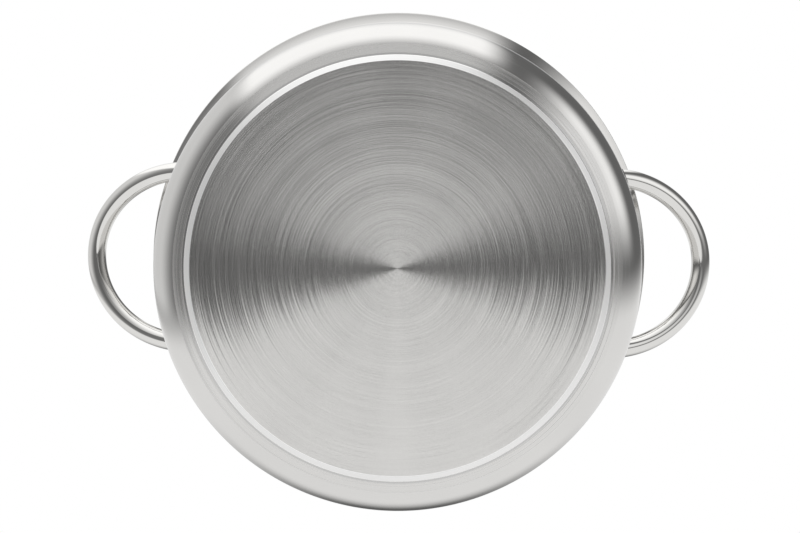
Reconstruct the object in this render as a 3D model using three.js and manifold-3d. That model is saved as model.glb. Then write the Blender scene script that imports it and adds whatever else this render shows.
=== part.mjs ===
// Stew pot: drawn steel shell with a flared pouring rim, a capped heat-spreading base and two bar handles.
// Millimetres, +Z up through the mouth, origin at the centre of the underside, handles along X.

import * as THREE from 'three';
import { mergeVertices } from 'three/addons/utils/BufferGeometryUtils.js';
import Module from 'manifold-3d';

const wasm = await Module();
wasm.setup();

// Shell
const INNER_DIAMETER = 280;
const HEIGHT = 165;
const WALL = 1;
const CORNER_RADIUS = 16;
const FLARE_REACH = 6.8;
const FLARE_BEND = 3;
const FLARE_ANGLE = THREE.MathUtils.degToRad(76);

// Capped base
const BASE_FLAT_RADIUS = 119.2;
const CHAMFER_WIDTH = 3.4;
const CHAMFER_DEPTH = 2.4;
const CAP_SHEET = 0.6;
const CORE_THICKNESS = 4.5;
const BRAZE_GAP = 0.2;

// Handles: bent round bars on curved weld plates
const BAR_DIAMETER = 11;
const HANDLE_REACH = 181.2;
const HANDLE_HALF_SPAN = 51.2;
const HANDLE_BOW = 54.3;
const HANDLE_TILT = THREE.MathUtils.degToRad(20);
const HANDLE_DROP = 27;
const PLATE_WIDTH = 30;
const PLATE_HEIGHT = 24;
const PLATE_THICKNESS = 2;
const WELD_GAP = 0.3;

// Fineness of the round forms
const TURN_SEGMENTS = 96;
const ARC_STEPS = 7;
const LIP_STEPS = 8;
const BAR_HALF_SIDES = 8;
const BAR_STEPS = 44;
const LOOP_POINTS = 33;
const PLATE_SEGMENTS = 12;

// Sizes that follow from the ones above
const wallRadius = INNER_DIAMETER / 2 + WALL;
const shellBottom = CAP_SHEET + CORE_THICKNESS + 2 * BRAZE_GAP;
const capRadius = BASE_FLAT_RADIUS + CHAMFER_WIDTH;
const baseTop = shellBottom - BRAZE_GAP;
const lipRadius = wallRadius + FLARE_REACH - WALL / 2;
const lipHeight = HEIGHT - WALL / 2;
const flangeStart = wallRadius + FLARE_BEND - (FLARE_BEND + WALL / 2) * Math.cos(FLARE_ANGLE);
const flangeRise = (lipRadius - flangeStart) / Math.tan(FLARE_ANGLE);
const flareStart = lipHeight - flangeRise - (FLARE_BEND + WALL / 2) * Math.sin(FLARE_ANGLE);
const plateInnerRadius = wallRadius + WELD_GAP;
const plateOuterRadius = plateInnerRadius + PLATE_THICKNESS;
const barStopRadius = plateOuterRadius + WELD_GAP;
const rootAzimuth = Math.asin(HANDLE_HALF_SPAN / plateOuterRadius);
const rootX = plateOuterRadius * Math.cos(rootAzimuth);
const rootZ = HEIGHT - HANDLE_DROP;

const brushedSteel = { color: 0xb9babb, roughness: 0.34, metalness: 1 };
const satinSteel = { color: 0xc6c7c8, roughness: 0.24, metalness: 1 };
const polishedSteel = { color: 0xd4d5d6, roughness: 0.1, metalness: 1 };
const aluminium = { color: 0xc3c5c8, roughness: 0.45, metalness: 1 };

// Points on an arc in the profile plane (radius, height), both ends included.
function arc(centreR, centreZ, radius, startAngle, endAngle, steps) {
  const points = [];
  for (let i = 0; i <= steps; i += 1) {
    const angle = startAngle + (endAngle - startAngle) * i / steps;
    points.push(new THREE.Vector2(centreR + radius * Math.cos(angle), centreZ + radius * Math.sin(angle)));
  }
  return points;
}

// The profile moved sideways by a distance to its left, with mitred corners.
function offsetLeft(profile, distance) {
  const normals = profile.slice(1).map((point, i) => {
    const along = point.clone().sub(profile[i]).normalize();
    return new THREE.Vector2(-along.y, along.x);
  });
  return profile.map((point, i) => {
    const before = normals[Math.max(i - 1, 0)];
    const after = normals[Math.min(i, normals.length - 1)];
    const mitre = before.clone().add(after);
    return point.clone().addScaledVector(mitre, distance / (1 + before.dot(after)));
  });
}

// A solid of revolution about Z from a profile that begins and ends on the axis or closes on itself.
function turned(profile) {
  return new THREE.LatheGeometry(profile, TURN_SEGMENTS).rotateX(Math.PI / 2);
}

// A closed geometry as a solid for cutting.
function toSolid(geometry) {
  const bare = geometry.clone();
  bare.deleteAttribute('normal');
  bare.deleteAttribute('uv');
  const merged = mergeVertices(bare, 1e-4);
  return new wasm.Manifold(new wasm.Mesh({
    numProp: 3,
    vertProperties: new Float32Array(merged.attributes.position.array),
    triVerts: new Uint32Array(merged.index.array),
  }));
}

// A cut solid as a geometry again.
function toGeometry(solid) {
  const { vertProperties, triVerts } = solid.getMesh();
  const geometry = new THREE.BufferGeometry();
  geometry.setAttribute('position', new THREE.BufferAttribute(vertProperties, 3));
  geometry.setIndex(new THREE.BufferAttribute(triVerts, 1));
  geometry.computeVertexNormals();
  return geometry;
}

function piece(name, geometry, finish) {
  const mesh = new THREE.Mesh(geometry, new THREE.MeshStandardMaterial(finish));
  mesh.name = name;
  return mesh;
}

// Outside of the shell from the axis to the lip: flat bottom, rounded corner, wall, tight bend and flange.
function shellOutside() {
  const corner = arc(
    wallRadius - CORNER_RADIUS, shellBottom + CORNER_RADIUS, CORNER_RADIUS, -Math.PI / 2, 0, ARC_STEPS,
  );
  const bend = arc(
    wallRadius + FLARE_BEND, flareStart, FLARE_BEND, Math.PI, Math.PI - FLARE_ANGLE, ARC_STEPS,
  );
  const flangeEnd = new THREE.Vector2(
    lipRadius + WALL / 2 * Math.cos(FLARE_ANGLE), lipHeight - WALL / 2 * Math.sin(FLARE_ANGLE),
  );
  return [new THREE.Vector2(0, shellBottom), ...corner, ...bend, flangeEnd];
}

// One sheet of even thickness, closed over the lip by a half-round edge.
function potShell() {
  const outside = shellOutside();
  const inside = offsetLeft(outside, WALL);
  const outerEnd = outside[outside.length - 1];
  const innerEnd = inside[inside.length - 1];
  const lipCentre = outerEnd.clone().add(innerEnd).multiplyScalar(0.5);
  const lipStart = -FLARE_ANGLE;
  const lip = arc(lipCentre.x, lipCentre.y, WALL / 2, lipStart, lipStart + Math.PI, LIP_STEPS);
  return turned([...outside, ...lip.slice(1, -1), ...inside.reverse()]);
}

// Outside of the cap from the axis to its top edge.
function capOutside() {
  return [
    new THREE.Vector2(0, 0),
    new THREE.Vector2(BASE_FLAT_RADIUS, 0),
    new THREE.Vector2(capRadius, CHAMFER_DEPTH),
    new THREE.Vector2(capRadius, baseTop),
  ];
}

function baseCap() {
  const outside = capOutside();
  return turned([...outside, ...offsetLeft(outside, CAP_SHEET).reverse()]);
}

// The disc fills the cap up to the shell's bottom.
function heatSpreader() {
  const underside = offsetLeft(capOutside(), CAP_SHEET + BRAZE_GAP);
  return turned([...underside, new THREE.Vector2(0, baseTop)]);
}

// Centre line of the bar on the +X side: an elliptical bow whose straight legs run into the wall.
function handleLine() {
  const bowX = HANDLE_REACH - HANDLE_BOW;
  const legX = Math.min(bowX, rootX) - BAR_DIAMETER;
  const climb = Math.tan(HANDLE_TILT);
  const place = (x, y) => new THREE.Vector3(x, y, rootZ + (x - rootX) * climb);
  const bow = [];
  for (let i = 0; i < LOOP_POINTS; i += 1) {
    const turn = Math.PI * (i / (LOOP_POINTS - 1) - 0.5);
    bow.push(place(bowX + HANDLE_BOW * Math.cos(turn), HANDLE_HALF_SPAN * Math.sin(turn)));
  }
  return new THREE.CatmullRomCurve3([place(legX, -HANDLE_HALF_SPAN), ...bow, place(legX, HANDLE_HALF_SPAN)]);
}

// The bar's ends are cut to the round of the plates that they are welded to.
function handleBar() {
  const section = new THREE.Shape().absarc(0, 0, BAR_DIAMETER / 2, 0, 2 * Math.PI);
  const bar = new THREE.ExtrudeGeometry(section, {
    steps: BAR_STEPS,
    curveSegments: BAR_HALF_SIDES,
    extrudePath: handleLine(),
  });
  const stop = turned([
    new THREE.Vector2(0, 0),
    new THREE.Vector2(barStopRadius, 0),
    new THREE.Vector2(barStopRadius, 2 * HEIGHT),
    new THREE.Vector2(0, 2 * HEIGHT),
  ]);
  return toGeometry(toSolid(bar).subtract(toSolid(stop)));
}

// An oval cut from a sleeve round the wall, under one bar end; side is -1 or 1 along Y.
function handlePlate(side) {
  const sleeveBottom = rootZ - PLATE_HEIGHT;
  const sleeveTop = rootZ + PLATE_HEIGHT;
  const sleeve = turned([
    new THREE.Vector2(plateInnerRadius, sleeveBottom),
    new THREE.Vector2(plateOuterRadius, sleeveBottom),
    new THREE.Vector2(plateOuterRadius, sleeveTop),
    new THREE.Vector2(plateInnerRadius, sleeveTop),
    new THREE.Vector2(plateInnerRadius, sleeveBottom),
  ]);
  const oval = new THREE.Shape().absellipse(0, 0, PLATE_HEIGHT / 2, PLATE_WIDTH / 2, 0, 2 * Math.PI);
  const punch = new THREE.ExtrudeGeometry(oval, {
    depth: PLATE_WIDTH,
    curveSegments: PLATE_SEGMENTS,
    bevelEnabled: false,
  });
  punch.rotateY(Math.PI / 2);
  punch.translate(plateOuterRadius - PLATE_WIDTH / 2, 0, rootZ);
  punch.rotateZ(side * rootAzimuth);
  return toGeometry(toSolid(sleeve).intersect(toSolid(punch)));
}

// A handle with its two plates, turned about the pot's axis to its side.
function handleSet(sideName, azimuth) {
  const set = new THREE.Group();
  const [negativeY, positiveY] = azimuth === 0 ? ['front', 'rear'] : ['rear', 'front'];
  set.add(piece(`handle_${sideName}`, handleBar(), polishedSteel));
  set.add(piece(`handle_plate_${sideName}_${negativeY}`, handlePlate(-1), satinSteel));
  set.add(piece(`handle_plate_${sideName}_${positiveY}`, handlePlate(1), satinSteel));
  set.rotation.z = azimuth;
  return set;
}

const stewPot = new THREE.Group();
stewPot.add(piece('pot_shell', potShell(), satinSteel));
stewPot.add(piece('heat_spreader_disc', heatSpreader(), aluminium));
stewPot.add(piece('base_cap', baseCap(), brushedSteel));
stewPot.add(handleSet('right', 0));
stewPot.add(handleSet('left', Math.PI));

export default stewPot;
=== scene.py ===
"""Stew pot in stainless steel, seen from below, with its handles at the left and right.

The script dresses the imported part: a drawn shell with a flared rim, a capped base with a brushed face,
and two polished bar handles on weld plates. Metres, +Z up through the mouth, handles along X.
"""

import logging
import math
from dataclasses import dataclass, field
from enum import Enum

import bpy
import numpy as np
from mathutils import Matrix, Vector


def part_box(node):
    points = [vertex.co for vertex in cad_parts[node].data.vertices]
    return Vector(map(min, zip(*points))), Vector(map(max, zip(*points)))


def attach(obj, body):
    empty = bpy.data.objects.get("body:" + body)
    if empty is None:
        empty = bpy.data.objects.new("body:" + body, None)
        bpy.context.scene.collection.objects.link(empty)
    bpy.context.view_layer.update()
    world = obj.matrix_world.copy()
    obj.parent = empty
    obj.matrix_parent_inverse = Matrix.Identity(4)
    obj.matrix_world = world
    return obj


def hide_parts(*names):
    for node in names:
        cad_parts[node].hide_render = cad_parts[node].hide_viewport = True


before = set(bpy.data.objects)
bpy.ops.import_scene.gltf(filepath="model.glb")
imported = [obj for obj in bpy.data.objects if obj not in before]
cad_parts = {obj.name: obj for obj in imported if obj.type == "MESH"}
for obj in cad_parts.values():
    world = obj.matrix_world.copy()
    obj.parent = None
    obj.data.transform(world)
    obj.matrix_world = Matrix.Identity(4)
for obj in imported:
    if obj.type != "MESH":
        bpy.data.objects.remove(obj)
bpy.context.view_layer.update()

BODY = "root"
MM = 0.001
TURN_SEGMENTS = 320
ON_AXIS = 1e-7
LEAST_SINE = 1e-6
WHITE = (1.0, 1.0, 1.0, 1.0)

log = logging.getLogger("stew_pot")

Point = tuple[float, float]
Socket = bpy.types.NodeSocket


class Zone(Enum):
    """Where a stretch of the turned profile lies, which sets its finish."""

    BASE_FACE = "base_face"
    BASE_BEVEL = "base_bevel"
    BASE_RIDGE = "base_ridge"
    HIDDEN = "hidden"
    SEAM = "seam"
    BOTTOM_RING = "bottom_ring"
    OUTSIDE = "outside"
    FLARE = "flare"
    INSIDE = "inside"


class NamedSign(Enum):
    """A choice between two opposite directions."""

    @property
    def word(self) -> str:
        """The direction's name in lower case."""
        return self.name.lower()


class Side(NamedSign):
    """The side of the pot that a handle stands on, with the sign of X there."""

    LEFT = -1
    RIGHT = 1


class End(NamedSign):
    """One end of a handle, with the sign of Y there."""

    FRONT = -1
    REAR = 1


class NodeMaker:
    """Adds shader nodes to one tree and links them."""

    def __init__(self, tree: bpy.types.NodeTree) -> None:
        """Start with an empty tree.

        Args:
            tree: the material's or world's node tree.
        """
        self.tree = tree
        tree.nodes.clear()

    def add(self, kind: str, inputs: dict | None = None, **settings: object) -> bpy.types.Node:
        """Add a node.

        Args:
            kind: the node's type name.
            inputs: value or socket for each input, by name or index.
            settings: attributes to set on the node.
        Returns:
            The new node.
        """
        node = self.tree.nodes.new(kind)
        for name, value in settings.items():
            setattr(node, name, value)
        for key, value in (inputs or {}).items():
            self.feed(node.inputs[key], value)
        return node

    def feed(self, target: Socket, value: object) -> None:
        """Link a socket to an input, or set a constant on it.

        Args:
            target: the input socket.
            value: a socket, a number or a tuple.
        """
        if isinstance(value, bpy.types.NodeSocket):
            self.tree.links.new(value, target)
        else:
            target.default_value = value

    def math(self, operation: str, first: object, second: object = 0.0) -> Socket:
        """One scalar operation.

        Args:
            operation: the Math node's operation.
            first: number or socket.
            second: number or socket.
        Returns:
            The result's socket.
        """
        return self.add("ShaderNodeMath", {0: first, 1: second}, operation=operation).outputs[0]

    def vector(self, operation: str, first: object, second: object = (0.0, 0.0, 0.0)) -> Socket:
        """One vector operation with a vector result.

        Args:
            operation: the Vector Math node's operation.
            first: vector or socket.
            second: vector or socket.
        Returns:
            The result's socket.
        """
        return self.add("ShaderNodeVectorMath", {0: first, 1: second}, operation=operation).outputs[0]

    def dot(self, first: object, second: object) -> Socket:
        """The dot product of two vectors."""
        node = self.add("ShaderNodeVectorMath", {0: first, 1: tuple(second)}, operation="DOT_PRODUCT")
        return node.outputs["Value"]

    def scaled(self, vector: object, factor: object) -> Socket:
        """A vector times a number."""
        node = self.add("ShaderNodeVectorMath", {0: vector, "Scale": factor}, operation="SCALE")
        return node.outputs[0]

    def combine(self, x: object, y: object, z: object) -> Socket:
        """Three numbers as a vector."""
        return self.add("ShaderNodeCombineXYZ", {0: x, 1: y, 2: z}).outputs[0]

    def step(self, value: object, low: float, high: float) -> Socket:
        """A smooth step from 0 below low to 1 above high.

        Args:
            value: the number to test.
            low: where the step begins.
            high: where the step ends.
        Returns:
            The step's socket.
        """
        node = self.add(
            "ShaderNodeMapRange", {0: value, 1: low, 2: high}, interpolation_type="SMOOTHSTEP"
        )
        return node.outputs[0]

    def span(self, value: object, low: float, high: float) -> Socket:
        """A number from 0 to 1 moved to the range from low to high."""
        return self.add("ShaderNodeMapRange", {0: value, 3: low, 4: high}).outputs[0]

    def about(self, base: float, value: object, amount: float) -> Socket:
        """A base number plus a value times an amount."""
        node = self.add("ShaderNodeMath", {0: value, 1: amount, 2: base}, operation="MULTIPLY_ADD")
        return node.outputs[0]

    def noise(self, vector: object, w: object, detail: float = 0.0) -> Socket:
        """Four-dimensional noise from -1 to 1 about zero.

        Args:
            vector: the first three coordinates.
            w: the fourth coordinate.
            detail: extra octaves.
        Returns:
            The noise's socket.
        """
        node = self.add(
            "ShaderNodeTexNoise",
            {"Vector": vector, "W": w, "Scale": 1.0, "Detail": detail, "Roughness": 0.5},
            noise_dimensions="4D",
        )
        return self.span(node.outputs[0], -1.0, 1.0)


@dataclass(frozen=True)
class LineLayer:
    """One layer of tool marks that run round the pot's axis.

    Marks stand pitch_mm apart across their run; the fewer arcs, the longer each mark. Each one tilts the
    surface across its run, those that lean inward by the inward share alone, and along its run by the skew
    times its distance from the axis. Marks above the threshold are grooves that scatter light by so much
    more.
    """

    pitch_mm: float
    arcs: float
    tilt: float
    scatter: float = 0.0
    threshold: float = 0.0
    inward: float = 1.0
    skew: float = 0.0


@dataclass(frozen=True)
class TurnedMetal:
    """Metal brushed or turned round the pot's axis, with layers of fine lines that run round it."""

    name: str
    colour: tuple[float, float, float]
    roughness: float
    spread: float
    anisotropy: float
    lines: tuple[LineLayer, ...]
    mottle: float = 0.04
    blotches_per_metre: float = 22.0
    roughest: float = 0.5
    grain_turn: float = 0.25

    def material(self) -> bpy.types.Material:
        """Make the finish's material.

        Returns:
            The material.
        """
        material = bpy.data.materials.new(self.name)
        material.use_nodes = True
        make = NodeMaker(material.node_tree)
        geometry = make.add("ShaderNodeNewGeometry")
        place = geometry.outputs["Position"]
        normal = geometry.outputs["Normal"]
        split = make.add("ShaderNodeSeparateXYZ", {0: place})
        flat = make.combine(split.outputs[0], split.outputs[1], 0.0)
        radius = make.add("ShaderNodeVectorMath", {0: flat}, operation="LENGTH").outputs["Value"]
        outward = make.vector("NORMALIZE", flat)
        round_way = make.vector("CROSS_PRODUCT", (0.0, 0.0, 1.0), outward)
        across = make.vector("CROSS_PRODUCT", round_way, normal)
        turn = make.add("ShaderNodeSeparateXYZ", {0: outward})

        tilt: object = 0.0
        skew: object = 0.0
        scatter: object = 0.0
        for layer in self.lines:
            pitch = layer.pitch_mm * MM
            coordinates = make.combine(
                make.math("DIVIDE", radius, pitch),
                make.math("DIVIDE", split.outputs[2], pitch),
                make.math("MULTIPLY", turn.outputs[0], layer.arcs),
            )
            marks = make.noise(coordinates, make.math("MULTIPLY", turn.outputs[1], layer.arcs))
            inward = make.math("MULTIPLY", make.math("MAXIMUM", marks, 0.0), layer.inward)
            lean = make.math("ADD", make.math("MINIMUM", marks, 0.0), inward)
            tilt = make.math("ADD", make.math("MULTIPLY", lean, layer.tilt), tilt)
            drift = make.math("MULTIPLY", marks, make.math("MULTIPLY", radius, layer.skew))
            skew = make.math("ADD", drift, skew)
            if layer.scatter > 0.0:
                depth = make.math("MAXIMUM", make.math("SUBTRACT", marks, layer.threshold), 0.0)
                scatter = make.math("ADD", make.math("MULTIPLY", depth, layer.scatter), scatter)

        bent = make.vector("ADD", normal, make.scaled(across, tilt))
        bent = make.vector("ADD", bent, make.scaled(round_way, skew))
        blotch = make.noise(make.scaled(place, self.blotches_per_metre), 0.0, detail=2.0)
        shade = make.about(1.0, blotch, self.mottle)
        gloss = make.about(self.roughness, blotch, self.spread)
        shader = make.add(
            "ShaderNodeBsdfPrincipled",
            {
                "Base Color": make.scaled(self.colour, shade),
                "Metallic": 1.0,
                "Roughness": make.math("MINIMUM", make.math("ADD", gloss, scatter), self.roughest),
                "Anisotropic": self.anisotropy,
                "Anisotropic Rotation": self.grain_turn,
                "Tangent": make.add("ShaderNodeTangent", direction_type="RADIAL", axis="Z").outputs[0],
                "Normal": make.vector("NORMALIZE", bent),
            },
        )
        make.add("ShaderNodeOutputMaterial", {0: shader.outputs[0]})
        return material


@dataclass(frozen=True)
class PolishedSteel:
    """Mirror-polished steel with a faint waviness and fine hairlines left by the wheel."""

    name: str
    colour: tuple[float, float, float]
    roughness: float
    waviness: float
    wave_mm: float
    hairs_per_metre: float = 900.0
    hair_share: float = 0.4
    film_per_metre: float = 35.0
    film_shade: float = 0.025

    def material(self) -> bpy.types.Material:
        """Make the finish's material.

        Returns:
            The material.
        """
        material = bpy.data.materials.new(self.name)
        material.use_nodes = True
        make = NodeMaker(material.node_tree)
        geometry = make.add("ShaderNodeNewGeometry")
        place = geometry.outputs["Position"]
        waves = make.add(
            "ShaderNodeTexNoise",
            {"Vector": place, "Scale": 1.0 / (self.wave_mm * MM), "Detail": 1.0},
        )
        sway = make.scaled(make.vector("SUBTRACT", waves.outputs["Color"], (0.5, 0.5, 0.5)), self.waviness)
        hair = make.noise(make.scaled(place, self.hairs_per_metre), 0.0, detail=1.0)
        gloss = make.about(self.roughness, hair, self.roughness * self.hair_share)
        film = make.noise(make.scaled(place, self.film_per_metre), 1.0, detail=2.0)
        shade = make.about(1.0, film, self.film_shade)
        shader = make.add(
            "ShaderNodeBsdfPrincipled",
            {
                "Base Color": make.scaled(self.colour, shade),
                "Metallic": 1.0,
                "Roughness": gloss,
                "Normal": make.vector("NORMALIZE", make.vector("ADD", geometry.outputs["Normal"], sway)),
            },
        )
        make.add("ShaderNodeOutputMaterial", {0: shader.outputs[0]})
        return material


BASE_BRUSHED = TurnedMetal(
    "base_brushed_steel", (0.765, 0.757, 0.74), 0.05, 0.004, 1.0,
    (
        LineLayer(0.015, 2.0, 0.0, 1.2, 0.15),
        LineLayer(0.38, 0.3, 0.018, inward=0.4),
        LineLayer(0.4, 0.3, 0.0, skew=0.06),
    ),
)
BEVEL_GROUND = TurnedMetal(
    "base_bevel_ground_steel", (0.9, 0.897, 0.89), 0.42, 0.02, 0.0,
    (LineLayer(0.8, 1.0, 0.01),),
)
RIDGE_POLISHED = TurnedMetal(
    "base_ridge_polished_steel", (0.9, 0.897, 0.89), 0.14, 0.02, 0.0,
    (LineLayer(0.8, 1.0, 0.01),),
)
# A darker copy of the ring steel along the seam beside the cap: painted shade in the crease between the cap
# and the shell.
SEAM_PAINTED_SHADE = TurnedMetal(
    "shell_seam_painted_shade_steel", (0.6, 0.597, 0.59), 0.2, 0.02, 0.8,
    (LineLayer(0.5, 1.0, 0.02),),
)
RING_TURNED = TurnedMetal(
    "shell_ring_turned_steel", (0.745, 0.737, 0.722), 0.2, 0.02, 0.8,
    (
        LineLayer(1.6, 0.3, 0.0, 0.35, 0.0),
        LineLayer(0.5, 0.6, 0.01, 0.5, 0.1),
    ),
)
SHELL_SATIN = TurnedMetal(
    "shell_outside_satin_steel", (0.745, 0.737, 0.722), 0.12, 0.015, 0.6,
    (
        LineLayer(2.5, 0.5, 0.006, 0.06, 0.1),
        LineLayer(0.5, 1.0, 0.01, 0.1, 0.1),
    ),
)
FLARE_SATIN = TurnedMetal(
    "shell_flare_satin_steel", (0.675, 0.667, 0.653), 0.12, 0.02, 0.4,
    (LineLayer(0.8, 0.8, 0.01),),
)
SHELL_INSIDE = TurnedMetal(
    "shell_inside_brushed_steel", (0.745, 0.737, 0.722), 0.26, 0.03, 0.85,
    (
        LineLayer(3.0, 0.6, 0.012),
        LineLayer(0.7, 1.0, 0.03),
    ),
)
HANDLE_MIRROR = PolishedSteel("handle_polished_steel", (0.785, 0.777, 0.757), 0.05, 0.012, 9.0)
PLATE_SATIN = PolishedSteel("plate_satin_steel", (0.765, 0.757, 0.742), 0.22, 0.02, 3.0)
WELD_DULL = PolishedSteel("weld_bead_steel", (0.7, 0.69, 0.68), 0.3, 0.12, 2.0)
CORE_ALUMINIUM = TurnedMetal(
    "core_turned_aluminium", (0.78, 0.785, 0.79), 0.4, 0.04, 0.6,
    (LineLayer(1.2, 1.0, 0.05),),
)


@dataclass
class SheetPath:
    """The outer face of a turned sheet, drawn from the axis outwards by a pen with a heading.

    Heading 0 points away from the axis and a quarter turn points up. The sheet's thickness lies to the
    left.
    """

    radius: float
    height: float
    heading: float = 0.0
    guard: float = 0.15 * MM
    guarded_run: float = 0.6 * MM
    marks: list[tuple[float, float, float]] = field(default_factory=list)
    zones: list[Zone] = field(default_factory=list)

    def __post_init__(self) -> None:
        """Put down the first mark."""
        self.marks.append((self.radius, self.height, self.heading))

    def move(self, radius: float, height: float, zone: Zone) -> None:
        """Bring the pen to a point and leave a mark there.

        Args:
            radius: the point's distance from the axis.
            height: the point's height.
            zone: the zone of the stretch that ends there.
        """
        self.radius = radius
        self.height = height
        self.marks.append((radius, height, self.heading))
        self.zones.append(zone)

    def run(self, length: float, zone: Zone) -> None:
        """Draw a straight stretch; guard rings near the ends of a long one keep it flat in shading.

        Args:
            length: the stretch's length.
            zone: the stretch's zone.
        """
        start = (self.radius, self.height)
        guarded = (self.guard, length - self.guard, length)
        stops = guarded if length > self.guarded_run else (length,)
        for stop in stops:
            ahead, up = stop * math.cos(self.heading), stop * math.sin(self.heading)
            self.move(start[0] + ahead, start[1] + up, zone)

    def run_to_radius(self, radius: float, zone: Zone) -> None:
        """Draw straight on to a distance from the axis."""
        self.run((radius - self.radius) / math.cos(self.heading), zone)

    def run_to_height(self, height: float, zone: Zone) -> None:
        """Draw straight on to a height."""
        self.run((height - self.height) / math.sin(self.heading), zone)

    def bend(self, radius: float, turn: float, steps: int, zone: Zone) -> None:
        """Draw an arc, to the left for a positive turn and to the right for a negative one.

        Args:
            radius: the arc's radius.
            turn: the change of heading in radians.
            steps: number of stretches.
            zone: the arc's zone.
        """
        reach = math.copysign(radius, turn)
        centre = (
            self.radius - reach * math.sin(self.heading),
            self.height + reach * math.cos(self.heading),
        )
        first = self.heading
        for i in range(1, steps + 1):
            self.heading = first + turn * i / steps
            self.move(
                centre[0] + reach * math.sin(self.heading), centre[1] - reach * math.cos(self.heading), zone
            )

    def closed(
        self, thickness: float, lip_steps: int, lip: Zone, inner: Zone
    ) -> tuple[list[Point], list[Zone]]:
        """Close the path into a sheet: over a lip at its end and back along the inner face.

        Args:
            thickness: the sheet's thickness.
            lip_steps: stretches of the half-round lip; one makes a square edge.
            lip: the lip's zone.
            inner: the inner face's zone.
        Returns:
            The points of the closed profile, radius and height, and the zone of each stretch.
        """
        points = [(radius, height) for radius, height, _ in self.marks]
        half = thickness / 2.0
        middle = (
            self.radius - half * math.sin(self.heading), self.height + half * math.cos(self.heading)
        )
        for i in range(1, lip_steps + 1):
            angle = self.heading - math.pi / 2.0 + math.pi * i / lip_steps
            points.append((middle[0] + half * math.cos(angle), middle[1] + half * math.sin(angle)))
        for radius, height, heading in reversed(self.marks[:-1]):
            points.append((radius - thickness * math.sin(heading), height + thickness * math.cos(heading)))
        return points, [*self.zones, *[lip] * lip_steps, *[inner] * len(self.zones)]


def mesh_piece(name: str, verts: np.ndarray, faces: list[tuple[int, ...]]) -> bpy.types.Object:
    """Make a smooth mesh object.

    Args:
        name: the piece's name.
        verts: vertex places in metres.
        faces: vertex numbers of each face.
    Returns:
        The object, linked into the scene.
    """
    mesh = bpy.data.meshes.new(name)
    mesh.from_pydata([tuple(v) for v in verts], [], faces)
    mesh.validate()
    mesh.polygons.foreach_set("use_smooth", [True] * len(mesh.polygons))
    mesh.update()
    piece = bpy.data.objects.new(name, mesh)
    bpy.context.scene.collection.objects.link(piece)
    return piece


def ring_faces(rings: list[list[int]]) -> list[tuple[int, ...]]:
    """Faces between neighbouring rings of vertices; a ring that repeats one vertex makes triangles.

    Args:
        rings: vertex numbers of each ring, all of one length.
    Returns:
        The vertex numbers of each face.
    """
    faces: list[tuple[int, ...]] = []
    for low, high in zip(rings, rings[1:]):
        for i in range(len(low)):
            j = (i + 1) % len(low)
            faces.append(tuple(dict.fromkeys((low[i], low[j], high[j], high[i]))))
    return faces


def turned_piece(
    name: str, points: list[Point], zones: list[Zone], finishes: dict[Zone, bpy.types.Material]
) -> bpy.types.Object:
    """Turn a closed profile about Z into a piece; points on the axis become single poles.

    Args:
        name: the piece's name.
        points: radius and height of each point, counter-clockwise seen with the radius to the right.
        zones: the zone of each stretch between two points.
        finishes: the material of each zone.
    Returns:
        The piece.
    """
    verts: list[tuple[float, float, float]] = []
    rings: list[list[int]] = []
    for radius, height in points:
        first = len(verts)
        if radius < ON_AXIS:
            verts.append((0.0, 0.0, height))
            rings.append([first] * TURN_SEGMENTS)
            continue
        for i in range(TURN_SEGMENTS):
            angle = 2.0 * math.pi * i / TURN_SEGMENTS
            verts.append((radius * math.cos(angle), radius * math.sin(angle), height))
        rings.append(list(range(first, first + TURN_SEGMENTS)))
    order = list(finishes)
    slots = [order.index(zone) for zone in zones for _ in range(TURN_SEGMENTS)]
    piece = mesh_piece(name, np.array(verts), ring_faces(rings))
    for material in finishes.values():
        piece.data.materials.append(material)
    piece.data.polygons.foreach_set("material_index", slots)
    return piece


def settle(piece: bpy.types.Object, slot: str, *nodes: str) -> bpy.types.Object:
    """Ride a piece on the pot, hide the nodes that it replaces and log its face count.

    Args:
        piece: the finished piece.
        slot: the record's material slot; not used.
        nodes: the nodes that it replaces.
    Returns:
        The same piece.
    """
    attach(piece, BODY)
    if nodes:
        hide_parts(*nodes)
    log.info("piece %s: %d faces", piece.name, len(piece.data.polygons))
    return piece


@dataclass
class CappedBase:
    """The steel cap under the pot: brushed face, ground bevel between two ridges, short upright edge."""

    flat_radius: float = 119.2 * MM
    bevel_width: float = 3.4 * MM
    bevel_depth: float = 2.4 * MM
    ridge: float = 0.8 * MM
    sheet: float = 0.6 * MM
    inner_ridge_steps: int = 6
    outer_ridge_steps: int = 8

    def build(self) -> bpy.types.Object:
        """Build the cap and dress the aluminium disc that it encloses.

        Returns:
            The cap's piece.
        """
        outer = self.flat_radius + self.bevel_width
        slope = math.atan2(self.bevel_depth, self.bevel_width)
        path = SheetPath(0.0, 0.0)
        path.run_to_radius(self.flat_radius - math.tan(slope / 2.0) * self.ridge, Zone.BASE_FACE)
        path.bend(self.ridge, slope, self.inner_ridge_steps, Zone.BASE_RIDGE)
        path.run_to_radius(outer - self.ridge * (1.0 - math.sin(slope)), Zone.BASE_BEVEL)
        path.bend(self.ridge, math.pi / 2.0 - slope, self.outer_ridge_steps, Zone.BASE_RIDGE)
        path.run_to_height(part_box("base_cap")[1].z, Zone.BASE_BEVEL)
        bevel = BEVEL_GROUND.material()
        cap = turned_piece(
            "base_cap_shell",
            *path.closed(self.sheet, 1, Zone.BASE_BEVEL, Zone.HIDDEN),
            {
                Zone.BASE_FACE: BASE_BRUSHED.material(),
                Zone.BASE_BEVEL: bevel,
                Zone.BASE_RIDGE: RIDGE_POLISHED.material(),
                Zone.HIDDEN: bevel,
            },
        )
        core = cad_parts["heat_spreader_disc"]
        core.material_slots[0].material = CORE_ALUMINIUM.material()
        return settle(cap, "base_steel", "base_cap")


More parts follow.
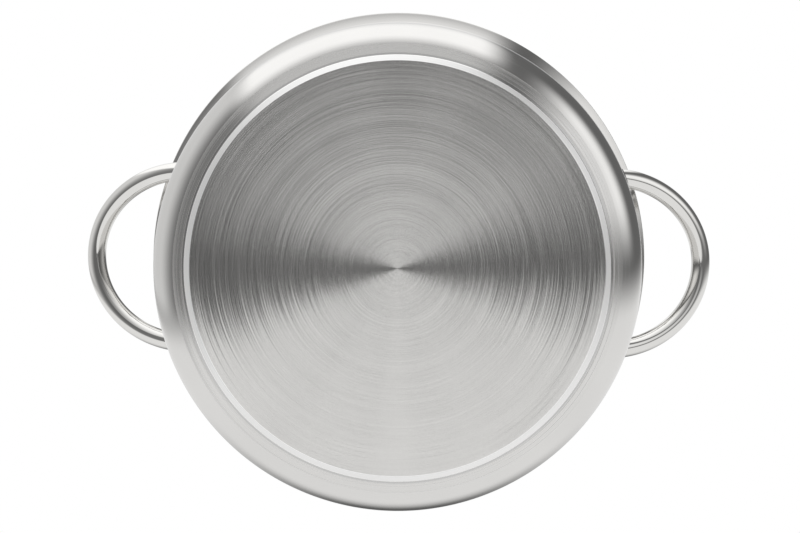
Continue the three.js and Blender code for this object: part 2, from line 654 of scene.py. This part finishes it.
@dataclass
class PotShell:
    """The drawn pot in one sheet: dished ring round the base, rounded corner, wall, bend and flange."""

    inner_radius: float = 140.0 * MM
    wall: float = 1.0 * MM
    ring_start: float = 120.0 * MM
    ring_bend: float = 6.0 * MM
    ring_slope: float = math.radians(20.0)
    seam_end: float = 123.8 * MM
    corner: float = 17.8 * MM
    rim_bend: float = 3.0 * MM
    flange_start: float = math.radians(60.0)
    flange_end: float = math.radians(69.0)
    ring_steps: int = 6
    corner_steps: int = 44
    rim_steps: int = 20
    flange_steps: int = 12
    lip_steps: int = 14

    def build(self) -> bpy.types.Object:
        """Build the shell from the node's bottom, height and rim.

        Returns:
            The shell's piece.
        """
        low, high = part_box("pot_shell")
        outer = self.inner_radius + self.wall
        half = self.wall / 2.0
        cos_start, sin_start = math.cos(self.flange_start), math.sin(self.flange_start)
        cos_end, sin_end = math.cos(self.flange_end), math.sin(self.flange_end)
        flange_width = high.x - half + half * cos_end - outer - self.rim_bend * (1.0 - cos_start)
        flange_radius = flange_width / (cos_start - cos_end)
        bend_rise = self.rim_bend * sin_start + flange_radius * (sin_end - sin_start)

        path = SheetPath(0.0, low.z)
        path.run_to_radius(self.ring_start, Zone.HIDDEN)
        path.bend(self.ring_bend, self.ring_slope, self.ring_steps, Zone.HIDDEN)
        path.run_to_radius(self.seam_end, Zone.SEAM)
        path.run_to_radius(outer - self.corner * (1.0 - math.sin(self.ring_slope)), Zone.BOTTOM_RING)
        path.bend(self.corner, math.pi / 2.0 - self.ring_slope, self.corner_steps, Zone.OUTSIDE)
        path.run_to_height(high.z - half - half * sin_end - bend_rise, Zone.OUTSIDE)
        path.bend(self.rim_bend, -self.flange_start, self.rim_steps, Zone.FLARE)
        path.bend(flange_radius, self.flange_start - self.flange_end, self.flange_steps, Zone.FLARE)
        ring = RING_TURNED.material()
        shell = turned_piece(
            "pot_shell_body",
            *path.closed(self.wall, self.lip_steps, Zone.FLARE, Zone.INSIDE),
            {
                Zone.HIDDEN: ring,
                # painted shade in the crease beside the cap
                Zone.SEAM: SEAM_PAINTED_SHADE.material(),
                Zone.BOTTOM_RING: ring,
                Zone.OUTSIDE: SHELL_SATIN.material(),
                Zone.FLARE: FLARE_SATIN.material(),
                Zone.INSIDE: SHELL_INSIDE.material(),
            },
        )
        return settle(shell, "shell_steel", "pot_shell")


@dataclass
class BarHandle:
    """A bent round bar, coped onto two curved weld plates, with a weld bead round each end."""

    side: Side
    bar_radius: float = 5.5 * MM
    half_span: float = 51.2 * MM
    bow: float = 54.3 * MM
    tilt: float = math.radians(20.0)
    plate_width: float = 30.0 * MM
    plate_thickness: float = 2.0 * MM
    plate_round: float = 1.6 * MM
    weld_gap: float = 0.3 * MM
    bead: float = 1.5 * MM
    sink: float = 0.5 * MM
    wall_radius: float = 141.0 * MM
    bar_sides: int = 64
    bow_steps: int = 240
    plate_sides: int = 96
    plate_rows: int = 6
    plate_edge_points: int = 10
    bead_points: int = 9
    bead_hollow: float = 0.25
    bead_lead: int = 6

    def __post_init__(self) -> None:
        """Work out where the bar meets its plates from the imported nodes."""
        low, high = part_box(f"handle_plate_{self.side.word}_front")
        self.plate_height = high.z - low.z
        self.root_z = (high.z + low.z) / 2.0
        bar_low, bar_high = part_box(f"handle_{self.side.word}")
        self.reach = max(abs(bar_low.x), abs(bar_high.x)) - self.bar_radius
        self.plate_radius = self.wall_radius + self.weld_gap + self.plate_thickness
        self.root_turn = math.asin(self.half_span / self.plate_radius)
        self.root_x = self.plate_radius * math.cos(self.root_turn)

    def place(self, points: np.ndarray) -> np.ndarray:
        """Turn points made for the +X side to this handle's side.

        Args:
            points: places on the +X side.
        Returns:
            The places on this side.
        """
        sign = self.side.value
        return points * np.array((sign, sign, 1.0))

    def surface(self, stop_radius: float) -> tuple[np.ndarray, np.ndarray]:
        """The bar's lengthwise lines on the +X side, each cut off where it reaches a radius round the pot.

        Args:
            stop_radius: distance from the pot's axis at which the lines end.
        Returns:
            Points and outward directions, by step along the bar and by line round it.
        """
        turns = np.linspace(-math.pi / 2.0, math.pi / 2.0, self.bow_steps)
        x = self.reach - self.bow * (1.0 - np.cos(turns))
        y = self.half_span * np.sin(turns)
        z = self.root_z + (x - self.root_x) * math.tan(self.tilt)
        line = np.stack([x, y, z], axis=1)
        tangents = np.gradient(line, axis=0)
        tangents /= np.linalg.norm(tangents, axis=1, keepdims=True)
        upright = np.array((-math.sin(self.tilt), 0.0, math.cos(self.tilt)))
        sideways = np.cross(upright, tangents)
        angles = np.linspace(0.0, 2.0 * math.pi, self.bar_sides, endpoint=False)
        across, up = np.cos(angles)[None, :, None], np.sin(angles)[None, :, None]
        outward = across * sideways[:, None, :] + up * upright
        points = line[:, None, :] + self.bar_radius * outward
        steps = np.arange(self.bow_steps)
        middle = self.bow_steps // 2
        cut_points = np.empty_like(points)
        cut_outward = np.empty_like(outward)
        for j in range(self.bar_sides):
            distance = np.hypot(points[:, j, 0], points[:, j, 1])
            first = np.interp(stop_radius, distance[:middle], steps[:middle])
            last = np.interp(stop_radius, distance[:middle:-1], steps[:middle:-1])
            stations = np.linspace(first, last, self.bow_steps)
            for k in range(3):
                cut_points[:, j, k] = np.interp(stations, steps, points[:, j, k])
                cut_outward[:, j, k] = np.interp(stations, steps, outward[:, j, k])
        return cut_points, cut_outward

    def bar(self) -> bpy.types.Object:
        """Build the bar, with its ends coped to the round of the pot inside the plates.

        Returns:
            The bar's piece.
        """
        points, _ = self.surface(self.plate_radius - self.plate_thickness / 2.0)
        ends = [points[0].mean(axis=0), points[-1].mean(axis=0)]
        verts = self.place(np.concatenate([points.reshape(-1, 3), ends]))
        count = self.bar_sides
        total = self.bow_steps * count
        rings = [list(range(i * count, (i + 1) * count)) for i in range(self.bow_steps)]
        faces = ring_faces([[total] * count, *rings, [total + 1] * count])
        piece = mesh_piece(f"handle_bar_{self.side.word}", verts, faces)
        piece.data.materials.append(HANDLE_MIRROR.material())
        return settle(piece, "handle_steel", f"handle_{self.side.word}")

    def weld(self, end: End) -> bpy.types.Object:
        """A thin bead that rounds off the corner between the bar and its plate.

        Args:
            end: the bar end that it goes round.
        Returns:
            The bead's piece.
        """
        points, outward = self.surface(self.plate_radius)
        at_front = end.value * self.side.value < 0
        root = points[0] if at_front else points[-1]
        lead = points[self.bead_lead] if at_front else points[-1 - self.bead_lead]
        along = lead - root
        along /= np.linalg.norm(along, axis=1, keepdims=True)
        bar_out = outward[0] if at_front else outward[-1]
        plate_out = root * np.array((1.0, 1.0, 0.0))
        plate_out /= np.linalg.norm(plate_out, axis=1, keepdims=True)
        aside = bar_out - plate_out * np.sum(bar_out * plate_out, axis=1, keepdims=True)
        aside /= np.linalg.norm(aside, axis=1, keepdims=True)
        toe = root + self.bead * aside
        crest = root + self.bead * along
        hollow = root + self.bead_hollow * self.bead * (aside + along)
        shares = np.linspace(0.0, 1.0, self.bead_points)
        section = [(1.0 - s) ** 2 * toe + 2.0 * s * (1.0 - s) * hollow + s ** 2 * crest for s in shares]
        bar_sink, plate_sink = self.sink * bar_out, self.sink * plate_out
        section += [crest - bar_sink, root - bar_sink - plate_sink, toe - plate_sink]
        count = self.bar_sides
        rings = [list(range(i * count, (i + 1) * count)) for i in range(len(section))]
        faces = ring_faces([*rings, rings[0]])
        if not at_front:
            faces = [tuple(reversed(face)) for face in faces]
        name = f"weld_bead_{self.side.word}_{end.word}"
        piece = mesh_piece(name, self.place(np.concatenate(section)), faces)
        piece.data.materials.append(WELD_DULL.material())
        return settle(piece, "handle_steel")

    def plate(self, end: End) -> bpy.types.Object:
        """An oval plate bent to the wall, with a rounded outer edge.

        Args:
            end: the bar end that it carries.
        Returns:
            The plate's piece.
        """
        half_width = self.plate_width / 2.0
        flat = 1.0 - self.plate_round / half_width
        quarter = np.linspace(0.0, math.pi / 2.0, self.plate_edge_points)
        count = self.plate_rows
        rows = [(flat * i / count, self.plate_thickness) for i in range(count)]
        rows += [
            (
                flat + (1.0 - flat) * math.sin(angle),
                self.plate_thickness - self.plate_round * (1.0 - math.cos(angle)),
            )
            for angle in quarter
        ]
        rows += [(i / count, 0.0) for i in range(count, -1, -1)]
        verts: list[tuple[float, float, float]] = []
        rings: list[list[int]] = []
        middle_turn = self.side.value * end.value * self.root_turn
        for share, lift in rows:
            first = len(verts)
            radius = self.wall_radius + self.weld_gap + lift
            for i in range(self.plate_sides if share > 0.0 else 1):
                angle = 2.0 * math.pi * i / self.plate_sides
                turn = middle_turn + share * half_width * math.cos(angle) / self.plate_radius
                height = self.root_z + share * self.plate_height / 2.0 * math.sin(angle)
                verts.append((radius * math.cos(turn), radius * math.sin(turn), height))
            rings.append(list(range(first, len(verts))) if share > 0.0 else [first] * self.plate_sides)
        name = f"{self.side.word}_{end.word}"
        faces = [tuple(reversed(face)) for face in ring_faces(rings)]
        piece = mesh_piece(f"weld_plate_{name}", self.place(np.array(verts)), faces)
        piece.data.materials.append(PLATE_SATIN.material())
        return settle(piece, "plate_steel", f"handle_plate_{name}")

    def build(self) -> None:
        """Build the bar, its plates and the weld beads."""
        self.bar()
        for end in End:
            self.plate(end)
            self.weld(end)


@dataclass(frozen=True)
class PhotoCamera:
    """The camera below the pot, set from where the base and the rim lie in the 800 x 533 frame."""

    image: Point = (800.0, 533.0)
    focal_px: float = 5480.0
    sensor_mm: float = 36.0
    distance: float = 3.136
    base_centre_px: Point = (397.5, 268.7)
    rim_centre_px: Point = (398.8, 258.4)
    roll: float = math.radians(0.88)
    clip: Point = (0.05, 200.0)

    def ray(self, pixel: Point) -> np.ndarray:
        """The point at depth one that a pixel shows, in the camera's axes: right, down and forward.

        Args:
            pixel: column and row.
        Returns:
            The point.
        """
        across = pixel[0] - self.image[0] / 2.0
        down = pixel[1] - self.image[1] / 2.0
        return np.array((across / self.focal_px, down / self.focal_px, 1.0))

    def pose(self) -> tuple[np.ndarray, np.ndarray]:
        """Work out where the camera stands and how it is turned, in the pot's frame.

        Returns:
            The camera's place, and its right, up and backward axes as columns.
        """
        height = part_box("pot_shell")[1].z
        base = self.ray(self.base_centre_px) * self.distance
        rim = self.ray(self.rim_centre_px) * (self.distance + height)
        up_axis = rim - base
        up_axis /= np.linalg.norm(up_axis)
        right_axis = np.array((math.cos(self.roll), math.sin(self.roll), 0.0))
        right_axis -= up_axis * (right_axis @ up_axis)
        right_axis /= np.linalg.norm(right_axis)
        pot_axes = np.stack([right_axis, np.cross(up_axis, right_axis), up_axis], axis=1)
        return -pot_axes.T @ base, pot_axes.T @ np.diag((1.0, -1.0, -1.0))

    def mirrored_axis(self) -> np.ndarray:
        """The way in which the middle of the base mirrors the camera's view.

        Returns:
            A unit vector.
        """
        spot = self.pose()[0]
        return spot * np.array((-1.0, -1.0, 1.0)) / np.linalg.norm(spot)

    def build(self) -> bpy.types.Object:
        """Make the camera and set it on the scene.

        Returns:
            The camera.
        """
        spot, turn = self.pose()
        data = bpy.data.cameras.new("photo_camera")
        data.sensor_width = self.sensor_mm
        data.lens = self.focal_px * self.sensor_mm / self.image[0]
        data.clip_start, data.clip_end = self.clip
        camera = bpy.data.objects.new("photo_camera", data)
        camera.matrix_world = Matrix.Translation(Vector(spot)) @ Matrix(turn.tolist()).to_4x4()
        bpy.context.scene.collection.objects.link(camera)
        bpy.context.scene.camera = camera
        return camera


@dataclass(frozen=True)
class Panel:
    """A soft-edged patch of even light in the studio, placed about the mirrored view.

    Its middle and half width are degrees round the view, counted from the picture's up towards its right.
    Away from the view, in degrees too, it comes up over its rise and dies out over its fall.
    """

    name: str
    level: float
    middle: float = 0.0
    half_width: float = 200.0
    soft: float = 5.0
    rise: Point = (-1.0, 0.0)
    fall: Point = (181.0, 182.0)


@dataclass(frozen=True)
class Studio:
    """A plain studio: a dim room with a pale table and soft light panels, and white behind the pot."""

    axis: tuple[float, float, float]
    backdrop: float = 1.0
    floor_colour: tuple[float, float, float] = (0.92, 0.92, 0.915)
    room: float = 0.15
    slit_roll: float = math.radians(1.7)
    slit_width: float = math.radians(0.06)
    slit_spread: float = 0.22
    slit_light: float = 0.18
    slit_edge: Point = (0.5, 1.8)
    slit_end: Point = (1.0, 4.0)
    floor_half: float = 30.0
    floor_drop: float = 0.2 * MM
    panels: tuple[Panel, ...] = (
        Panel("lens_card", 0.63, fall=(0.9, 2.2)),
        Panel("table", 0.9, middle=175.0, half_width=78.0, soft=7.0, rise=(-3.0, 2.5)),
        Panel("shade_on_table", 0.12, middle=180.0, half_width=30.0, soft=25.0, rise=(85.0, 140.0)),
        Panel("left_wall", 0.75, middle=-75.0, half_width=30.0, rise=(30.0, 100.0)),
        Panel("overhead_box", 1.25, middle=-10.0, half_width=35.0, rise=(10.0, 80.0), fall=(115.0, 220.0)),
        Panel(
            "right_box", 1.1, middle=62.0, half_width=20.0, soft=10.0, rise=(-5.0, 60.0),
            fall=(65.0, 105.0),
        ),
        Panel("lens_ring", 1.2, half_width=90.0, soft=20.0, fall=(0.0, 0.6)),
        Panel("backdrop_glow", 0.85, rise=(155.0, 176.0)),
    )

    def reach(
        self, make: NodeMaker, panel: Panel, way: Socket, sides: np.ndarray, off_axis: Socket
    ) -> Socket:
        """How far a panel covers a direction, from 0 to 1.

        Args:
            make: the world's node maker.
            panel: the panel.
            way: the direction.
            sides: the picture's right and up, as unit vectors in rows.
            off_axis: degrees between the direction and the mirrored view.
        Returns:
            The cover's socket.
        """
        turn = math.radians(panel.middle)
        towards = make.dot(way, sides[0] * math.sin(turn) + sides[1] * math.cos(turn))
        aside = make.math("SINE", make.math("RADIANS", off_axis))
        cosine = make.math("DIVIDE", towards, make.math("MAXIMUM", aside, LEAST_SINE))
        round_view = make.math("DEGREES", make.math("ARCCOSINE", cosine))
        edge = make.step(round_view, panel.half_width - panel.soft, panel.half_width + panel.soft)
        cover = make.math("SUBTRACT", make.step(off_axis, *panel.rise), make.step(off_axis, *panel.fall))
        return make.math("MULTIPLY", cover, make.math("SUBTRACT", 1.0, edge))

    def light(self) -> None:
        """Make the world: studio light by direction, and a plain white backdrop to the camera."""
        scene = bpy.context.scene
        scene.world = bpy.data.worlds.new("studio")
        scene.world.use_nodes = True
        scene.view_settings.view_transform = "Standard"
        make = NodeMaker(scene.world.node_tree)
        way = make.add("ShaderNodeTexCoord").outputs["Generated"]
        ahead = np.array(self.axis)
        rightward = np.cross((0.0, 1.0, 0.0), -ahead)
        rightward /= np.linalg.norm(rightward)
        upward = np.cross(ahead, rightward)
        off_axis = make.math("DEGREES", make.math("ARCCOSINE", make.dot(way, ahead)))
        light: object = self.room
        for panel in self.panels:
            cover = self.reach(make, panel, way, np.stack([rightward, upward]), off_axis)
            levels = {"Factor": cover, 2: light, 3: panel.level}
            mix = make.add("ShaderNodeMix", levels, data_type="FLOAT", label=panel.name)
            light = mix.outputs[0]
        across = rightward * -math.sin(self.slit_roll) + upward * math.cos(self.slit_roll)
        off_slit = make.math("ABSOLUTE", make.math("ARCSINE", make.dot(way, across)))
        spread = make.math("MULTIPLY", make.math("RADIANS", off_axis), self.slit_spread)
        width = make.math("ADD", spread, self.slit_width)
        open_share = make.step(make.math("DIVIDE", off_slit, width), *self.slit_edge)
        past_slit = make.step(off_axis, *self.slit_end)
        slit = make.span(make.math("MAXIMUM", open_share, past_slit), self.slit_light, 1.0)
        strength = make.math("MULTIPLY", light, slit)
        surround = make.add("ShaderNodeBackground", {"Color": WHITE, "Strength": strength})
        plain = make.add("ShaderNodeBackground", {"Color": WHITE, "Strength": self.backdrop})
        seen = make.add("ShaderNodeLightPath").outputs["Is Camera Ray"]
        both = make.add("ShaderNodeMixShader", {0: seen, 1: surround.outputs[0], 2: plain.outputs[0]})
        make.add("ShaderNodeOutputWorld", {0: both.outputs[0]})

    def floor(self) -> bpy.types.Object:
        """A wide pale floor under the pot that shows from above only.

        Returns:
            The floor.
        """
        half = self.floor_half
        signs = ((-1.0, -1.0), (1.0, -1.0), (1.0, 1.0), (-1.0, 1.0))
        corners = np.array([(half * x, half * y, -self.floor_drop) for x, y in signs])
        floor = mesh_piece("studio_floor", corners, [(0, 1, 2, 3)])
        material = bpy.data.materials.new("studio_floor_pale")
        material.use_nodes = True
        make = NodeMaker(material.node_tree)
        pale = make.add("ShaderNodeBsdfDiffuse", {"Color": (*self.floor_colour, 1.0)})
        clear = make.add("ShaderNodeBsdfTransparent")
        behind = make.add("ShaderNodeNewGeometry").outputs["Backfacing"]
        surface = make.add("ShaderNodeMixShader", {0: behind, 1: pale.outputs[0], 2: clear.outputs[0]})
        make.add("ShaderNodeOutputMaterial", {0: surface.outputs[0]})
        floor.data.materials.append(material)
        for kind in ("glossy", "diffuse", "transmission", "volume_scatter", "shadow"):
            setattr(floor, f"visible_{kind}", False)
        return floor


def main() -> None:
    """Build the studio, the pot and its handles, and log each piece's face count."""
    logging.basicConfig(level=logging.INFO, format="%(name)s: %(message)s")
    camera = PhotoCamera()
    camera.build()
    studio = Studio(tuple(camera.mirrored_axis()))
    studio.light()
    studio.floor()
    CappedBase().build()
    PotShell().build()
    for side in Side:
        BarHandle(side).build()


if __name__ == "__main__":
    main()
